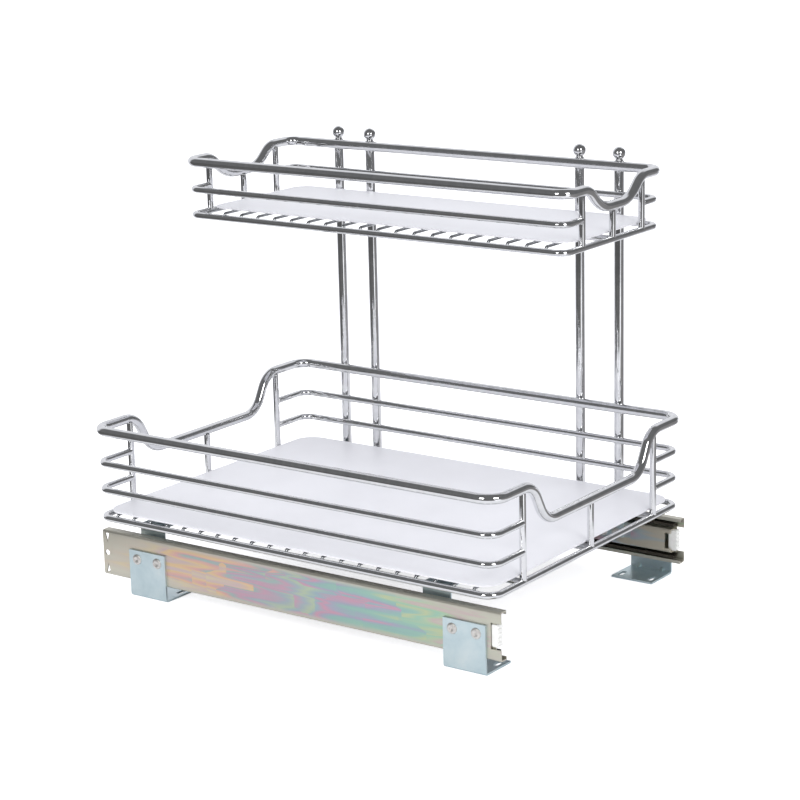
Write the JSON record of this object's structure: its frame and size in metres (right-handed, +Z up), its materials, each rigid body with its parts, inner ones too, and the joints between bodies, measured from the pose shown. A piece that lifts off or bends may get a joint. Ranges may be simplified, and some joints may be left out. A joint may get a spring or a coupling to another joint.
{
  "type": "pull out cabinet basket",
  "caption": "Two-tier chrome wire cabinet basket with flat plastic liners that pulls out on full-extension ball slides held by floor brackets.",
  "frame": {"origin": "on the cabinet floor, at the centre of the pattern of floor bracket slots", "axes": "+Z up, -Y the front towards which the basket pulls out, +X the side of the upper basket"},
  "size_m": [0.3412, 0.4701, 0.4115],
  "materials": {
    "chrome_wire": "bright chrome plate on steel wire",
    "slide_zinc": "yellow-green zinc plate with a faint iridescent film",
    "bracket_zinc": "pale blue-white zinc plate",
    "fastener_steel": "zinc plate",
    "retainer_steel": "plain rolled steel strip with a film of grease",
    "ball_steel": "polished bearing steel",
    "bumper_plastic": "moulded",
    "liner_plastic": "satin flat sheet"
  },
  "bodies": {
    "cabinet_side": {"outer_member_left": "slide_zinc", "outer_member_right": "slide_zinc", "floor_bracket_front_left": "bracket_zinc", "floor_bracket_rear_left": "bracket_zinc", "floor_bracket_front_right": "bracket_zinc", "floor_bracket_rear_right": "bracket_zinc", "floor_bracket_rivets": "fastener_steel"},
    "intermediate_left": {"middle_member_left": "slide_zinc", "front_bumper_left": "bumper_plastic"},
    "intermediate_right": {"middle_member_right": "slide_zinc", "front_bumper_right": "bumper_plastic"},
    "outer_retainer_left": {"outer_cage_left": "retainer_steel", "outer_balls_left": "ball_steel"},
    "outer_retainer_right": {"outer_cage_right": "retainer_steel", "outer_balls_right": "ball_steel"},
    "inner_retainer_left": {"inner_cage_left": "retainer_steel", "inner_balls_left": "ball_steel"},
    "inner_retainer_right": {"inner_cage_right": "retainer_steel", "inner_balls_right": "ball_steel"},
    "basket": {"inner_member_left": "slide_zinc", "inner_member_right": "slide_zinc", "basket_bracket_front_left": "bracket_zinc", "basket_bracket_rear_left": "bracket_zinc", "basket_bracket_front_right": "bracket_zinc", "basket_bracket_rear_right": "bracket_zinc", "basket_bracket_rivets": "fastener_steel", "saddle_clamps": "bracket_zinc", "clamp_screws": "fastener_steel", "lower_top_rim": "chrome_wire", "lower_bottom_rim": "chrome_wire", "lower_side_wire_upper_left": "chrome_wire", "lower_side_wire_upper_right": "chrome_wire", "lower_side_wire_lower_left": "chrome_wire", "lower_side_wire_lower_right": "chrome_wire", "lower_corner_posts": "chrome_wire", "lower_middle_posts": "chrome_wire", "lower_runners": "chrome_wire", "lower_floor_wires": "chrome_wire", "lower_liner": "liner_plastic", "upright_front_first": "chrome_wire", "upright_front_second": "chrome_wire", "upright_rear_first": "chrome_wire", "upright_rear_second": "chrome_wire", "finials": "chrome_wire", "upper_top_rim": "chrome_wire", "upper_bottom_rim": "chrome_wire", "upper_side_wire_left": "chrome_wire", "upper_side_wire_right": "chrome_wire", "upper_corner_posts": "chrome_wire", "upper_middle_posts": "chrome_wire", "upper_runner": "chrome_wire", "upper_floor_wires": "chrome_wire", "upper_liner": "liner_plastic"}
  },
  "joints": [
    {"name": "basket_slide", "type": "slide", "parent": "cabinet_side", "child": "basket", "axis": [0, -1, 0], "range_m": [0, 0.45]},
    {"name": "intermediate_left_slide", "type": "slide", "parent": "cabinet_side", "child": "intermediate_left", "axis": [0, -1, 0], "range_m": [0, 0.225]},
    {"name": "intermediate_right_slide", "type": "slide", "parent": "cabinet_side", "child": "intermediate_right", "axis": [0, -1, 0], "range_m": [0, 0.225]},
    {"name": "outer_retainer_left_slide", "type": "slide", "parent": "cabinet_side", "child": "outer_retainer_left", "axis": [0, -1, 0], "range_m": [0, 0.1125]},
    {"name": "outer_retainer_right_slide", "type": "slide", "parent": "cabinet_side", "child": "outer_retainer_right", "axis": [0, -1, 0], "range_m": [0, 0.1125]},
    {"name": "inner_retainer_left_slide", "type": "slide", "parent": "cabinet_side", "child": "inner_retainer_left", "axis": [0, -1, 0], "range_m": [0, 0.3375]},
    {"name": "inner_retainer_right_slide", "type": "slide", "parent": "cabinet_side", "child": "inner_retainer_right", "axis": [0, -1, 0], "range_m": [0, 0.3375]}
  ],
  "couplings": [
    {"joint": "intermediate_left_slide", "follows": "basket_slide", "ratio": 0.5},
    {"joint": "intermediate_right_slide", "follows": "basket_slide", "ratio": 0.5},
    {"joint": "outer_retainer_left_slide", "follows": "basket_slide", "ratio": 0.25},
    {"joint": "outer_retainer_right_slide", "follows": "basket_slide", "ratio": 0.25},
    {"joint": "inner_retainer_left_slide", "follows": "basket_slide", "ratio": 0.75},
    {"joint": "inner_retainer_right_slide", "follows": "basket_slide", "ratio": 0.75}
  ]
}
